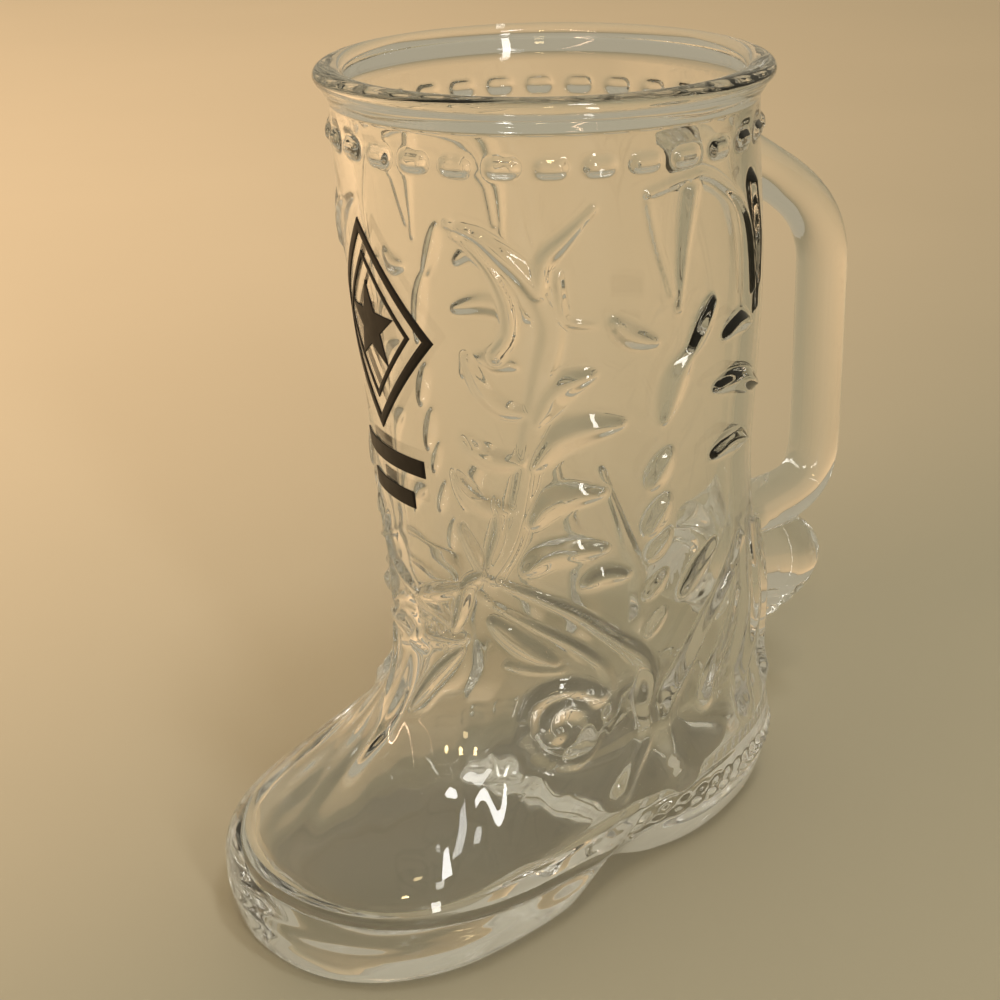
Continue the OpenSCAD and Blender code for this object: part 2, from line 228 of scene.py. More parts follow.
def ring_surface(rows, looped=False):
    """Vertices and faces of a closed surface through rings. Its ends close at their middles, or join."""
    count, columns = rows.shape[:2]
    vertices = rows.reshape(-1, 3)
    c = np.arange(columns)
    d = (c + 1) % columns
    pairs = [(r, (r + 1) % count) for r in range(count if looped else count - 1)]
    faces = np.concatenate([
        np.stack([r * columns + c, r * columns + d, s * columns + d, s * columns + c], -1) for r, s in pairs
    ]).tolist()
    if not looped:
        vertices = np.concatenate([vertices, [rows[0].mean(0)], [rows[-1].mean(0)]])
        first, last, top = count * columns, count * columns + 1, (count - 1) * columns
        faces += np.stack([0 * c + first, d, c], -1).tolist()
        faces += np.stack([0 * c + last, top + c, top + d], -1).tolist()
    return vertices, faces


def joined(surfaces):
    vertices, faces, start = [], [], 0
    for v, f in surfaces:
        vertices.append(v)
        faces += [[i + start for i in face] for face in f]
        start += len(v)
    return np.concatenate(vertices), faces


def piece(name, surface, *materials):
    vertices, faces = surface
    mesh = bpy.data.meshes.new(name)
    mesh.from_pydata(to_frame(vertices).tolist(), [], faces)
    mesh.shade_smooth()
    for material in materials:
        mesh.materials.append(material)
    thing = bpy.data.objects.new(name, mesh)
    bpy.context.scene.collection.objects.link(thing)
    return thing


# Relief of the mould on the outside of the boot, the same on both sides but for the print's place

STITCHES = 30
STITCH_Z = 138.7
STITCH_L = 5.4
STITCH_HALF = 1.5
STITCH_H = 0.9
BEADS = 22
BEAD_TURNS = (104, 180)
HEEL_BEAD_Z = 13
HEEL_BEAD_L = 2
HEEL_BEAD_R = 1.5
HEEL_BEAD_H = 0.8
SCROLL_AT = (62, 35.5)
SCROLL_R = (8.2, 2.4)
SCROLL_TURNS = 1.5
SCROLL_START = 0.2
SCROLL_HALF = 1.8
SCROLL_H = 1.9
PATH_STEP = 0.3
RELIEF_SPREAD = 1.15
RELIEF_SOFT = 1
PRINT_TURN = math.radians(14)
PRINT_CLEAR = (19, 28)
PRINT_CLEAR_Z = 101
PRINT_CLEAR_FADE = 0.15

# How the half width runs from a stroke's first point to its last
PLANS = {
    "rod": lambda t: 1 + 0 * t,
    "leaf": lambda t: np.sin(np.pi * t**0.85) ** 0.7 + 0.03,
    "horn": lambda t: 0.2 + 0.8 * ease(t * 1.4),
    "tear": lambda t: 0.22 + 0.78 * ease(t),
}
# How the height runs from a stroke's middle line to its edge
CROWNS = {
    "round": lambda q: unit(1 - q * q) ** 1.8,
    "flat": lambda q: ease((1 - q) / 0.6),
    "facet": lambda q: unit(1.1 * (1 - q)),
}
# Plan, crown, half width and height in millimetres, then points as turn from the toe in degrees and height
STROKES = [
    # Two horns and the stem that they grow from
    ("horn", "round", 1.9, 1.3, [(20, 129), (28, 127.5), (34, 124.5), (39, 121.5), (43, 118)]),
    ("horn", "round", 1.3, 1.0, [(21, 127.5), (27, 125), (32, 121), (35, 116), (35, 111), (31, 107)]),
    ("horn", "round", 1.7, 1.3, [(58, 132), (50, 127), (45, 123.5), (43, 118)]),
    ("rod", "flat", 2.1, 0.7, [(43, 119), (46, 112), (43, 103), (40, 93), (37, 82), (33, 73), (27, 66)]),
    ("horn", "round", 1.0, 0.8, [(60, 112), (54, 112.5), (49, 114), (48, 121)]),
    # Leaves to the right of the stem, and fainter ones to the left
    ("leaf", "facet", 2.7, 1.3, [(41, 95), (45, 100), (50, 102.5), (57, 104)]),
    ("leaf", "facet", 2.9, 1.3, [(40, 87), (46, 92), (54, 94), (65, 94.5)]),
    ("leaf", "facet", 2.7, 1.3, [(39, 76), (43, 79.5), (49, 81.5), (60, 82)]),
    ("leaf", "facet", 2.8, 1.3, [(37, 67), (43, 70), (50, 71), (61, 71)]),
    ("leaf", "facet", 1.9, 1.2, [(54, 64), (60, 65.5), (68, 65)]),
    ("leaf", "round", 2.2, 0.8, [(39, 97), (32, 98), (27, 101), (22, 107)]),
    ("leaf", "round", 2.2, 0.8, [(38, 88), (30, 88), (24, 89.5), (17, 93)]),
    ("leaf", "round", 2.2, 0.8, [(36, 79), (28, 79), (21, 81), (15, 86)]),
    ("leaf", "round", 1.5, 1.0, [(26, 68), (30, 75), (29, 81)]),
    # Leaves between the stem and the strap
    ("leaf", "facet", 1.9, 1.4, [(61, 113), (66, 110), (74, 108)]),
    ("leaf", "facet", 2.2, 1.5, [(92, 114), (88, 109), (83, 104)]),
    ("leaf", "facet", 2.5, 1.5, [(84, 105.5), (80, 101), (76, 93)]),
    ("leaf", "facet", 2.2, 1.2, [(95, 84), (105, 85), (117, 83)]),
    ("leaf", "facet", 2.2, 1.2, [(94, 97), (108, 96.5), (124, 92)]),
    ("leaf", "facet", 1.8, 1.2, [(97, 106), (104, 107.5), (112, 106)]),
    # Pull strap: two ribs under a rope arch
    ("tear", "facet", 1.9, 1.4, [(80, 113), (82, 124), (85, 133)]),
    ("tear", "facet", 1.9, 1.3, [(115, 108), (116, 120), (113, 131)]),
    ("rod", "round", 0.8, 0.8, [
        (72, 133.5), (83, 135), (90, 135), (98, 132), (106, 128), (111, 122), (113, 112),
    ]),
    ("rod", "round", 0.8, 0.6, [(72, 132), (74, 125), (78, 116)]),
    # Oval studs down the side
    ("leaf", "facet", 2.5, 1.2, [(73, 81.5), (76, 84.5), (79, 88)]),
    ("leaf", "facet", 2.5, 1.2, [(73, 72.5), (76, 75.5), (79, 79)]),
    ("leaf", "round", 1.8, 1.0, [(74, 67.5), (77, 69.5), (80, 72)]),
    ("leaf", "round", 1.8, 1.0, [(74, 59.5), (77, 61.5), (80, 64)]),
    ("leaf", "round", 1.8, 1.0, [(75, 51), (78, 53.5), (81, 56)]),
    # Vamp seam with its tongue, and the creases at the ankle
    ("horn", "round", 2.2, 1.6, [
        (24, 66), (33, 64), (42, 62), (54, 58), (66, 51), (79, 43), (93, 36), (100, 29), (98, 22),
    ]),
    ("horn", "round", 1.1, 1.0, [(23, 62), (36, 58), (50, 53), (60, 47), (67, 41), (74, 37)]),
    ("leaf", "facet", 2.3, 1.3, [(28, 57.5), (38, 53), (50, 47.5)]),
    ("rod", "round", 0.7, 0.6, [(37, 48), (44, 46.5), (51, 46)]),
    ("leaf", "round", 1.3, 0.9, [(17, 75), (22, 69), (26, 65)]),
    ("leaf", "round", 1.4, 1.0, [(25, 66), (19, 63), (17, 54)]),
    ("leaf", "round", 1.6, 1.1, [(-18, 63), (0, 59), (12, 56.5), (18, 54)]),
    ("leaf", "round", 1.9, 1.2, [(-22, 53), (-6, 52), (11, 49.5)]),
    ("leaf", "round", 1.1, 0.8, [(1, 56), (10, 55), (19, 50)]),
    ("leaf", "round", 1.2, 0.8, [(22, 51), (18, 46), (15, 40)]),
    # Petals over the heel
    ("leaf", "facet", 2.2, 1.3, [(87, 57.5), (92, 62), (99, 66)]),
    ("tear", "facet", 4.3, 1.9, [(113, 64), (103, 55), (96, 46), (99, 35), (106, 26), (109, 21)]),
    ("tear", "facet", 2.6, 1.5, [(112, 52), (109, 45), (110, 36), (114, 30)]),
    ("tear", "facet", 3.6, 1.7, [(124, 64), (124, 50), (127, 38), (131, 24)]),
    ("tear", "facet", 3.2, 1.6, [(141, 60), (145, 46), (150, 34), (152, 24)]),
]


def on_boot(points):
    """Places on the plain boot for points of turn in degrees and height."""
    turn, z = np.radians(points[..., 0]), points[..., 1]
    return outside(turn, z)


def smooth_path(points):
    """A curve over the boot through points of turn and height, in short even steps."""
    p = np.array(points, float)
    p = np.concatenate([[2 * p[0] - p[1]], p, [2 * p[-1] - p[-2]]])
    t = np.linspace(0, len(points) - 1, 40 * len(points))
    i = np.minimum(t.astype(int), len(points) - 2)
    f = (t - i)[:, None]
    a, b, c, d = p[i], p[i + 1], p[i + 2], p[i + 3]
    q = 0.5 * (2 * b + (c - a) * f + (2 * a - 5 * b + 4 * c - d) * f**2 + (3 * b - a - 3 * c + d) * f**3)
    path = on_boot(q)
    run = np.concatenate([[0], np.cumsum(np.linalg.norm(np.diff(path, axis=0), axis=1))])
    even = np.linspace(0, run[-1], math.ceil(run[-1] / PATH_STEP) + 1)
    return np.stack([np.interp(even, run, path[:, k]) for k in range(3)], 1)


def raise_along(relief, base, path, plan, crown, width, height):
    """Raises the relief within a width of the path, on either side of the boot."""
    width = width * RELIEF_SPREAD
    widths = width * PLANS[plan](np.linspace(0, 1, len(path)))
    near = ((base > path.min(0) - width) & (base < path.max(0) + width)).all(1)
    if not near.any():
        return
    gap = np.linalg.norm(base[near][:, None] - path[None], axis=2)
    q = (gap / widths).min(1)
    relief[near] = np.maximum(relief[near], height * CROWNS[crown](q))


def scroll_path():
    turn, z = SCROLL_AT
    centre, ahead, above = on_boot(np.array([(turn, z), (turn + 1, z), (turn, z + 1)]))
    across = (ahead - centre) / np.linalg.norm(ahead - centre)
    up = above - centre
    up = up - across * (up @ across)
    up = up / np.linalg.norm(up)
    length = np.pi * SCROLL_TURNS * sum(SCROLL_R)
    t = np.linspace(0, 1, math.ceil(length / PATH_STEP))[:, None]
    r = SCROLL_R[0] + (SCROLL_R[1] - SCROLL_R[0]) * t
    a = np.pi * (SCROLL_START + 2 * SCROLL_TURNS * t)
    return centre + r * (np.cos(a) * across + np.sin(a) * up)


def relief_heights(points):
    """Height of the relief at points of the plain boot."""
    shape = points.shape[:2]
    both = points.reshape(-1, 3)
    relief = np.zeros(len(both))
    for flip in (1, -1):
        base = both * np.array([1, flip, 1])
        for plan, crown, width, height, ends in STROKES:
            raise_along(relief, base, smooth_path(ends), plan, crown, width, height)
        spiral = scroll_path()
        nearest = np.array([base[np.linalg.norm(base - p, axis=1).argmin()] for p in spiral])
        raise_along(relief, base, nearest, "rod", "round", SCROLL_HALF, SCROLL_H)
        for k in range(BEADS):
            turn = BEAD_TURNS[0] + (BEAD_TURNS[1] - BEAD_TURNS[0]) * k / (BEADS - 1)
            spot = on_boot(np.array([(turn, HEEL_BEAD_Z + s * HEEL_BEAD_L / 2) for s in (-1, 1)]))
            raise_along(relief, base, spot, "rod", "round", HEEL_BEAD_R, HEEL_BEAD_H)
    span = math.degrees((STITCH_L - 2 * STITCH_HALF) / COLLAR_R) / 2
    for k in range(STITCHES):
        turn = 360 * k / STITCHES
        dash = on_boot(np.array([(turn + s, STITCH_Z) for s in np.linspace(-span, span, 9)]))
        raise_along(relief, both, dash, "rod", "flat", STITCH_HALF, STITCH_H)
    return softened((relief * beside_print(both)).reshape(shape))


def softened(heights):
    """The relief with its edges rounded off, as fire-polished glass has them."""
    for _ in range(RELIEF_SOFT):
        heights = heights / 2 + (np.roll(heights, 1, 1) + np.roll(heights, -1, 1)) / 4
        inner = heights[1:-1] / 2 + (heights[2:] + heights[:-2]) / 4
        heights = np.concatenate([heights[:1], inner, heights[-1:]])
    return heights


def beside_print(points):
    """None of the relief under the print, all of it a little way off."""
    u = points[:, 0] * math.sin(PRINT_TURN) + points[:, 1] * math.cos(PRINT_TURN)
    gap = np.hypot(u / PRINT_CLEAR[0], (points[:, 2] - PRINT_CLEAR_Z) / PRINT_CLEAR[1])
    return np.where(points[:, 0] > 0, ease((gap - 1) / PRINT_CLEAR_FADE), 1)


# Slow waves in the glass of the foot, which break up what it mirrors: height in millimetres,
# waves per millimetre along the reach, the side and the height, and where the wave starts
WAVES = [
    (0.12, (0.085, 0.04, 0.06), 0.4),
    (0.08, (0.03, 0.12, 0.08), 1.9),
    (0.05, (0.15, -0.10, 0.04), 3.1),
]
WAVE_REACH = (18, 32)
WAVE_FADE = (34, 52)
WAVE_LOW = (17, 27)


def waves(points):
    z = points[..., 2]
    swell = sum(height * np.sin(2 * np.pi * (points @ np.array(run)) + start) for height, run, start in WAVES)
    ahead = ease((points[..., 0] - WAVE_REACH[0]) / (WAVE_REACH[1] - WAVE_REACH[0]))
    above = ease((z - WAVE_LOW[0]) / (WAVE_LOW[1] - WAVE_LOW[0]))
    below = ease((WAVE_FADE[1] - z) / (WAVE_FADE[1] - WAVE_FADE[0]))
    return swell * ahead * above * below


def outward(points):
    around = np.roll(points, -1, 1) - np.roll(points, 1, 1)
    along = np.gradient(points, axis=0)
    n = np.cross(around, along)
    return n / np.linalg.norm(n, axis=2, keepdims=True)


# Boot

COLUMNS = 560
ROW_STEP = 0.45
CAVITY_STEP = 1.3
MIDDLE_REACH = 8
NECK_ROUND = 0.8
NECK_TURN = -45
NECK_STEPS = 7
BEAD_STEPS = 40
LIP_STEPS = 8
EDGE_ROWS = 7
EDGE_CROWD = 1.6
SOLE_RINGS = 26
FLOOR_RINGS = 16


def shrunk(ring, shares):
    """Rings from one ring in towards the middle of the foot."""
    middle = np.array([MIDDLE_REACH, 0, 0])
    rows = []
    for share in shares:
        row = middle + (ring - middle) * share
        row[:, 2] = ring[:, 2]
        rows.append(row)
    return np.array(rows)


def mouth_profile():
    """Radius and height from the collar over the flare and the bead to the cavity."""
    def bead(t):
        return np.stack([BEAD_R + BEAD_W / 2 * np.cos(t), BEAD_Z + BEAD_H / 2 * np.sin(t)], -1)

    start, corner = np.array([COLLAR_R, NECK_Z - NECK_ROUND]), np.array([COLLAR_R, NECK_Z])
    top = bead(np.array(math.radians(NECK_TURN)))
    end = corner + (top - corner) * NECK_ROUND / np.linalg.norm(top - corner)
    t = np.linspace(0, 1, NECK_STEPS)[:, None]
    neck = start * (1 - t) ** 2 + 2 * corner * t * (1 - t) + end * t * t
    flare = end + (top - end) * np.linspace(0, 1, NECK_STEPS)[1:, None]
    turns = np.radians(np.linspace(NECK_TURN, 180, BEAD_STEPS)[1:])
    lip = bead(np.array(np.pi))
    fall = np.array([COLLAR_R - LEG_WALL, NECK_Z]) - lip
    t = np.linspace(0, 1, LIP_STEPS)[1:-1]
    inner = lip + fall * np.stack([ease(t), t], -1)
    return np.concatenate([neck, flare, bead(turns), inner])


def boot_surface():
    turn = np.linspace(0, 2 * np.pi, COLUMNS, endpoint=False)[None]
    low = SOLE_ROUND * np.linspace(0, 1, EDGE_ROWS) ** EDGE_CROWD
    high = np.arange(SOLE_ROUND, NECK_Z - NECK_ROUND - ROW_STEP / 2, ROW_STEP)
    heights = np.concatenate([low[:-1], high])[:, None]
    plain = outside(turn, heights)
    lift = relief_heights(plain) * ease(heights / WELT_Z * 2) + waves(plain)
    leg = plain + outward(plain) * lift[..., None]
    sole = shrunk(plain[0], np.linspace(0, 1, SOLE_RINGS)[1:-1])
    sole[..., 2] = arch(sole[..., 0], 0)
    profile = mouth_profile()
    mouth = np.stack([
        profile[:, :1] * np.cos(turn), profile[:, :1] * np.sin(turn), profile[:, 1:] + 0 * turn,
    ], -1)
    depths = np.concatenate([
        np.arange(NECK_Z, BASE_T + FLOOR_R, -CAVITY_STEP),
        BASE_T + FLOOR_R * np.linspace(1, 0, FLOOR_RINGS) ** 2,
    ])[:, None]
    cavity = inside(turn, depths)
    floor = shrunk(cavity[-1], np.linspace(1, 0, FLOOR_RINGS)[1:-1])
    return ring_surface(np.concatenate([sole, leg, mouth, cavity, floor]))


# Handle: a drawn bar with a flared root, and a pressed root that ends in a crimped tail

BAR_SIDES = 40
BAR_STEPS = 40
ROOT_PULL = (24, 9)
TOP_PULL = 15
LOW_PULL = 18
LOW_ROOT_PULL = 4
FLARE_RUN = 2.4
PRESS_START = 0.33
ROOT_SINK = 1.8
ROOT_STEPS = 7
SKIN_STEP = 0.42
SKIN_SMOOTH = 4
ROLLS = 9
ROLL_DIP = 0.74


def bezier(p, t):
    a, b, c, d = (np.array(q, float) for q in p)
    t = t[:, None]
    return a * (1 - t) ** 3 + 3 * b * t * (1 - t) ** 2 + 3 * c * t * t * (1 - t) + d * t**3


def bar_surface():
    """The bar through two bends, given by the four points of each curve as reach to the back and height."""
    root_x = float(back(np.array(ROOT_Z))) - ROOT_SINK
    low_root_x = float(back(np.array(LOW_ROOT_Z)))
    upper = [
        (root_x, ROOT_Z),
        (root_x + ROOT_PULL[0], ROOT_Z - ROOT_PULL[1]),
        (BAR_X, BAR_TOP_Z + TOP_PULL),
        (BAR_X, BAR_TOP_Z),
    ]
    lower = [
        (BAR_X, BAR_LOW_Z),
        (BAR_X, BAR_LOW_Z - LOW_PULL),
        (BAR_X - LOW_ROOT_PULL, LOW_ROOT_Z),
        (low_root_x, LOW_ROOT_Z),
    ]
    t = np.linspace(0, 1, BAR_STEPS)
    path = np.concatenate([bezier(upper, t), bezier(lower, t)])
    flare = np.concatenate([ease(1 - t * FLARE_RUN), 0 * t])
    press = np.concatenate([0 * t, ease(t - PRESS_START)])
    radius = BAR_D / 2 + (ROOT_D - BAR_D) / 2 * (flare + press)
    slope = np.gradient(path, axis=0)
    slope = slope / np.linalg.norm(slope, axis=1, keepdims=True)
    level = ease(1 - np.arange(len(slope)) / ROOT_STEPS)[:, None]
    slope = slope * (1 - level) + np.array([1, 0]) * level
    slope = slope / np.linalg.norm(slope, axis=1, keepdims=True)
    a = np.linspace(0, 2 * np.pi, BAR_SIDES, endpoint=False)[None]
    r = radius[:, None]
    return ring_surface(np.stack([
        -(path[:, :1] - slope[:, 1:] * r * np.cos(a)),
        r * np.sin(a),
        path[:, 1:] + slope[:, :1] * r * np.cos(a),
    ], -1))


def ellipsoid(middle, radii, rows=24, columns=32):
    a = np.linspace(-np.pi / 2, np.pi / 2, rows + 2)[1:-1, None]
    b = np.linspace(0, 2 * np.pi, columns, endpoint=False)[None]
    ball = np.stack([np.cos(a) * np.cos(b), np.cos(a) * np.sin(b), np.sin(a) + 0 * b], -1)
    return ring_surface(np.array(middle) + ball * np.array(radii))


def hull_of(points):
    """Vertices and faces of the smallest convex form round the points."""
    shape = bmesh.new()
    for p in points:
        shape.verts.new(p)
    made = bmesh.ops.convex_hull(shape, input=shape.verts)
    spare = {v for v in made["geom_interior"] + made["geom_unused"] if isinstance(v, bmesh.types.BMVert)}
    bmesh.ops.delete(shape, geom=list(spare), context="VERTS")
    shape.verts.index_update()
    surface = np.array([v.co for v in shape.verts]), [[v.index for v in f.verts] for f in shape.faces]
    shape.free()
    return surface


def roll_surface(k):
    """One crimp: a roll pressed across the folded root or its tail, carried back into the boot."""
    t = k / (ROLLS - 1)
    z = PAD_Z - TAIL_DROP * t
    r = TAIL_R + (PAD_R - TAIL_R) * (1 - t) ** 1.1
    out = PAD_OUT + (TAIL_OUT - PAD_OUT) * t**1.8 - r
    side = max(PAD_HALF + (TAIL_HALF - PAD_HALF) * t - r, 0.5)
    heel = float(back(np.array(z)))
    r = r * (ROLL_DIP if k % 2 else 1)
    points = []
    for y in (-side, side):
        points.append(ellipsoid((-(heel + out), y, z), (r, r, r))[0])
        points.append(ellipsoid((-(heel - r), y, z + out / 4), (r, r, r))[0])
    return hull_of(np.concatenate(points))


def handle_piece(material, fused):
    rough = piece("handle_rough", joined([bar_surface()] + [roll_surface(k) for k in range(ROLLS)]))
    skin = rough.modifiers.new("skin", "REMESH")
    skin.mode = "VOXEL"
    skin.voxel_size = SKIN_STEP * MM
    smooth = rough.modifiers.new("smooth", "SMOOTH")
    smooth.iterations = SKIN_SMOOTH
    mesh = bpy.data.meshes.new_from_object(rough.evaluated_get(bpy.context.evaluated_depsgraph_get()))
    bpy.data.objects.remove(rough)
    mesh.name = "handle_glass"
    mesh.shade_smooth()
    mesh.materials.clear()
    mesh.materials.append(material)
    mesh.materials.append(fused)
    thing = bpy.data.objects.new("handle_glass", mesh)
    bpy.context.scene.collection.objects.link(thing)
    return thing


def tree_of(thing):
    mesh = thing.data
    return BVHTree.FromPolygons([v.co for v in mesh.vertices], [p.vertices for p in mesh.polygons])


def fuse(thing, other):
    """Gives the faces of one glass piece that lie inside another the material of fused glass."""
    tree = tree_of(other)
    corners = np.array([v.co for v in other.data.vertices])
    low, high = corners.min(0), corners.max(0)
    for face in thing.data.polygons:
        c = face.center
        if all(low[i] <= c[i] <= high[i] for i in range(3)):
            spot, normal, index, gap = tree.find_nearest(c)
            if (c - spot).dot(normal) < 0:
                face.material_index = 1


# Print: a star in a lozenge with two bars under it

FILM = (0.02, 0.25)
BADGE_Z = BOOT_H - 42
BADGE_W = 32
BADGE_H = 38
LINE_W = 1.6
INNER_SHARE = 0.7
STAR_R = 8
STAR_IN = 0.42
STAR_POINTS = 5
BAR_L = 22
BAR_H = 3.2
BAR_GAP = 3.4
BAR_TAPER = 0.3


def on_leg(flat, lift):
    """Points of the flat motif carried straight onto the leg, and lifted off it."""
    z = BADGE_Z + flat[..., 1]
    across = np.array([math.sin(PRINT_TURN), math.cos(PRINT_TURN)])
    ahead = np.array([math.cos(PRINT_TURN), -math.sin(PRINT_TURN)])
    c, w = widest(z), half(z) + lift
    long = front(z) + lift - c
    start = flat[..., :1] * across
    p = [(start[..., 0] - c) / long, start[..., 1] / w]
    d = [ahead[0] / long, ahead[1] / w]
    qa, qb, qc = d[0] ** 2 + d[1] ** 2, p[0] * d[0] + p[1] * d[1], p[0] ** 2 + p[1] ** 2 - 1
    s = (-qb + np.sqrt(qb * qb - qa * qc)) / qa
    return np.stack([start[..., 0] + s * ahead[0], start[..., 1] + s * ahead[1], z], -1)


def walked(corners, steps):
    """Points along a closed outline, with the same steps on each side."""
    p = np.array(corners, float)
    t = np.linspace(0, 1, steps, endpoint=False)[:, None]
    return np.concatenate([a + (b - a) * t for a, b in zip(p, np.roll(p, -1, 0))])


def film_disc(corners, steps=16, rings=14):
    edge = walked(corners, steps)
    shares = np.linspace(0, 1, rings)[1:, None, None]
    flat = edge.mean(0) + (edge - edge.mean(0)) * shares
    return ring_surface(np.concatenate([on_leg(flat, FILM[0]), on_leg(flat[::-1], FILM[1])]))


def film_loop(outer, inner, steps=40, rings=4):
    shares = np.linspace(0, 1, rings)[:, None, None]
    flat = walked(inner, steps) + (walked(outer, steps) - walked(inner, steps)) * shares
    return ring_surface(np.concatenate([on_leg(flat, FILM[0]), on_leg(flat[::-1], FILM[1])]), looped=True)


def lozenge(w, h):
    return [(w / 2, 0), (0, h / 2), (-w / 2, 0), (0, -h / 2)]


def lozenge_line(w, h, line):
    inset = line * math.hypot(w, h) / h, line * math.hypot(w, h) / w
    return film_loop(lozenge(w, h), lozenge(w - 2 * inset[0], h - 2 * inset[1]))


def print_surface():
    shapes = [lozenge_line(BADGE_W, BADGE_H, LINE_W)]
    shapes.append(lozenge_line(BADGE_W * INNER_SHARE, BADGE_H * INNER_SHARE, LINE_W / 2))
    star = []
    for i in range(2 * STAR_POINTS):
        r = STAR_R if i % 2 == 0 else STAR_R * STAR_IN
        a = -math.pi * i / STAR_POINTS
        star.append((r * math.sin(a), r * math.cos(a)))
    shapes.append(film_disc(star))
    for k in range(2):
        y = -BADGE_H / 2 - BAR_GAP - BAR_H / 2 - k * (BAR_H + BAR_GAP)
        x = BAR_L * (1 - BAR_TAPER * k) / 2
        low, high = y - BAR_H / 2, y + BAR_H / 2
        shapes.append(film_disc([(x, low), (x, high), (-x, high), (-x, low)]))
    return joined(shapes)


# Materials

GLASS_TINT = (0.98, 0.988, 0.975)
GLASS_IOR = 1.5


def new_material(name):
    material = bpy.data.materials.new(name)
    material.use_nodes = True
    nodes, links = material.node_tree.nodes, material.node_tree.links
    return material, nodes, links, nodes["Principled BSDF"]


def noise(nodes, links, scale, detail, stretch=(1, 1, 1)):
    place = nodes.new("ShaderNodeTexCoord")
    mapping = nodes.new("ShaderNodeMapping")
    mapping.inputs["Scale"].default_value = stretch
    links.new(place.outputs["Object"], mapping.inputs["Vector"])
    texture = nodes.new("ShaderNodeTexNoise")
    texture.inputs["Scale"].default_value = scale
    texture.inputs["Detail"].default_value = detail
    links.new(mapping.outputs["Vector"], texture.inputs["Vector"])
    return texture.outputs["Fac"]


def ranged(nodes, links, value, low, high):
    span = nodes.new("ShaderNodeMapRange")
    span.inputs["To Min"].default_value = low
    span.inputs["To Max"].default_value = high
    links.new(value, span.inputs["Value"])
    return span.outputs["Result"]


def mixed(nodes, links, value, low, high):
    ramp = nodes.new("ShaderNodeValToRGB")
    ramp.color_ramp.elements[0].color = (*low, 1)
    ramp.color_ramp.elements[1].color = (*high, 1)
    links.new(value, ramp.inputs["Fac"])
    return ramp.outputs["Color"]


def bumped(nodes, links, shader, value, depth):
    bump = nodes.new("ShaderNodeBump")
    bump.inputs["Strength"].default_value = 1
    bump.inputs["Distance"].default_value = depth * MM
    links.new(value, bump.inputs["Height"])
    links.new(bump.outputs["Normal"], shader.inputs["Normal"])


def glass(name, tint, wave_scale, wave_depth, stretch):
    material, nodes, links, shader = new_material(name)
    shader.inputs["Transmission Weight"].default_value = 1
    shader.inputs["IOR"].default_value = GLASS_IOR
    clear = tuple(min(1, c * 1.02) for c in tint)
    links.new(mixed(nodes, links, noise(nodes, links, 40, 2), tint, clear), shader.inputs["Base Color"])
    links.new(ranged(nodes, links, noise(nodes, links, 90, 3), 0, 0.03), shader.inputs["Roughness"])
    bumped(nodes, links, shader, noise(nodes, links, wave_scale, 1.5, stretch), wave_depth)
    return material


def fused_glass():
    """Glass inside glass, which bends no light."""
    material, nodes, links, shader = new_material("fused_glass")
    shader.inputs["Transmission Weight"].default_value = 1
    shader.inputs["IOR"].default_value = 1
    shader.inputs["Roughness"].default_value = 0
    shader.inputs["Base Color"].default_value = (1, 1, 1, 1)
    return material


def enamel():
    material, nodes, links, shader = new_material("fired_enamel")
    grain = noise(nodes, links, 900, 4)
    colour = mixed(nodes, links, grain, (0.007, 0.005, 0.004), (0.014, 0.010, 0.007))
    links.new(colour, shader.inputs["Base Color"])
    links.new(ranged(nodes, links, noise(nodes, links, 400, 3), 0.35, 0.55), shader.inputs["Roughness"])
    shader.inputs["Specular IOR Level"].default_value = 0.25
    bumped(nodes, links, shader, grain, 0.02)
    return material


def paper():
    material, nodes, links, shader = new_material("cream_ground")
    colour = mixed(nodes, links, noise(nodes, links, 6, 4), (0.518, 0.469, 0.349), (0.554, 0.50, 0.372))
    links.new(colour, shader.inputs["Base Color"])
    shader.inputs["Roughness"].default_value = 0.6
    return material


# Stage

FLOOR_HALF = 6
FLOOR_DROP = 0.05
HORIZON = (0.39, 0.342, 0.246)
ZENITH = (0.473, 0.43, 0.32)
GLASS_MIDDLE = (0, 0, 0.06)
# Name, place in metres, width and height, power in watts, colour, and the place that the lamp points at
LAMPS = [
    ("panel", (-0.06, -0.33, 0.95), (0.08, 0.24), 1.2, (1, 0.99, 0.96), GLASS_MIDDLE),
    ("bulb", (-0.37, -0.42, 0.83), (0.06, 0.06), 0.45, (1, 0.75, 0.4), GLASS_MIDDLE),
    ("window", (-0.36, -0.96, 0.46), (0.09, 0.5), 2.5, (1, 0.97, 0.9), GLASS_MIDDLE),
    ("wall_wash", (-0.95, -0.3, 1.4), (1.0, 1.0), 204, (1, 0.6625, 0.4415), (-1.04, 0.7, 1.55)),
]


def look(away):
    """Rotation that points a lamp's own -Z along the opposite of away."""
    z = away / np.linalg.norm(away)
    x = np.cross((0, 0, 1), z)
    x = x / np.linalg.norm(x)
    return np.stack([x, np.cross(z, x), z], 1).tolist()


def lamp(name, place, size, power, colour, aim):
    light = bpy.data.lights.new(name, "AREA")
    light.shape = "RECTANGLE"
    light.size, light.size_y = size
    light.energy = power
    light.color = colour
    thing = bpy.data.objects.new(name, light)
    thing.location = place
    away = np.array(place) - np.array(aim)
    thing.rotation_euler = Matrix(look(away)).to_euler()
    bpy.context.scene.collection.objects.link(thing)


def stage_floor():
    mesh = bpy.data.meshes.new("ground")
    h, z = FLOOR_HALF, -FLOOR_DROP * MM
    mesh.from_pydata([(-h, -h, z), (h, -h, z), (h, h, z), (-h, h, z)], [], [(0, 1, 2, 3)])
    mesh.materials.append(paper())
    floor = bpy.data.objects.new("ground", mesh)
    bpy.context.scene.collection.objects.link(floor)


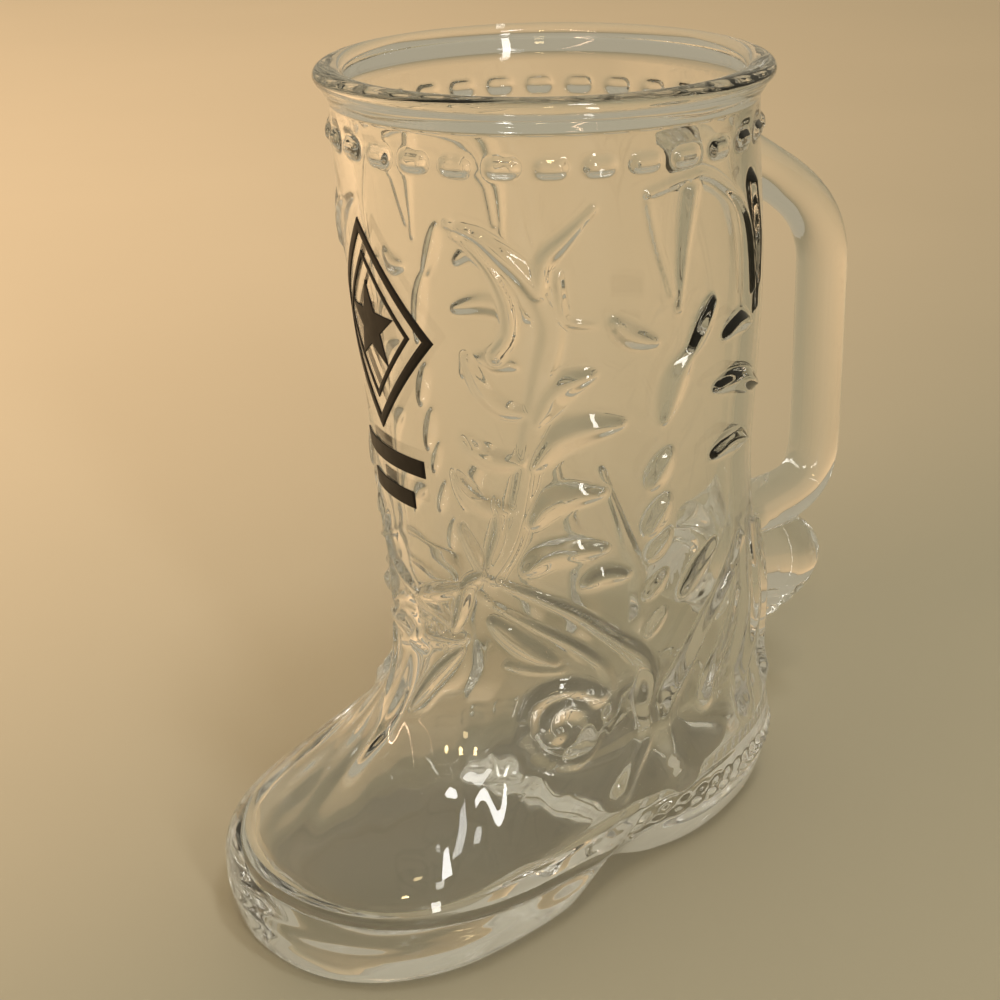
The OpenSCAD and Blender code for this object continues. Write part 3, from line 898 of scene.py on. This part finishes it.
def stage_light():
    world = bpy.data.worlds.new("room")
    world.use_nodes = True
    nodes, links = world.node_tree.nodes, world.node_tree.links
    place = nodes.new("ShaderNodeTexCoord")
    axes = nodes.new("ShaderNodeSeparateXYZ")
    links.new(place.outputs["Generated"], axes.inputs["Vector"])
    links.new(mixed(nodes, links, axes.outputs["Z"], HORIZON, ZENITH), nodes["Background"].inputs["Color"])
    bpy.context.scene.world = world
    for row in LAMPS:
        lamp(*row)


# Camera, at the photograph's place

CAMERA_AT = (-243.3, -250.4, 207.9)
LOOK_TURN = math.radians(41.92)
LOOK_DOWN = math.radians(22.05)
LOOK_ROLL = math.radians(1.3)
LENS = 72
SENSOR = 36


def stage_camera():
    st, ct = math.sin(LOOK_TURN), math.cos(LOOK_TURN)
    sd, cd = math.sin(LOOK_DOWN), math.cos(LOOK_DOWN)
    ahead = np.array([cd * st, cd * ct, -sd])
    level = np.array([ct, -st, 0])
    down = np.array([-sd * st, -sd * ct, -cd])
    right = math.cos(LOOK_ROLL) * level + math.sin(LOOK_ROLL) * down
    below = -math.sin(LOOK_ROLL) * level + math.cos(LOOK_ROLL) * down
    camera = bpy.data.cameras.new("camera")
    camera.lens = LENS
    camera.sensor_width = SENSOR
    camera.sensor_fit = "HORIZONTAL"
    camera.clip_start = 0.01
    thing = bpy.data.objects.new("camera", camera)
    turned = Matrix(np.stack([right, -below, -ahead], 1).tolist()).to_4x4()
    turned.translation = [c * MM for c in CAMERA_AT]
    thing.matrix_world = turned
    bpy.context.scene.collection.objects.link(thing)
    bpy.context.scene.camera = thing


# The pieces

# How often light may bounce: in all, and by mirroring alone
LIGHT_BOUNCES = 40
MIRROR_BOUNCES = 14

inner_glass = fused_glass()
body_glass = glass("moulded_glass", GLASS_TINT, 70, 0.05, (1, 1, 0.6))
bar_glass = glass("drawn_glass", GLASS_TINT, 60, 0.06, (1, 1, 0.25))

boot = piece("boot_glass", boot_surface(), body_glass, inner_glass)
handle = handle_piece(bar_glass, inner_glass)
fuse(boot, handle)
fuse(handle, boot)
film = piece("print_enamel", print_surface(), enamel())

for thing, node, slot in ((boot, "boot", "glass"), (handle, "handle", "glass"), (film, "print", "enamel")):
    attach(thing, "root")
    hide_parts(node)

stage_floor()
stage_light()
stage_camera()

scene = bpy.context.scene
scene.view_settings.view_transform = "Standard"
scene.cycles.max_bounces = LIGHT_BOUNCES
scene.cycles.transmission_bounces = LIGHT_BOUNCES
scene.cycles.glossy_bounces = MIRROR_BOUNCES
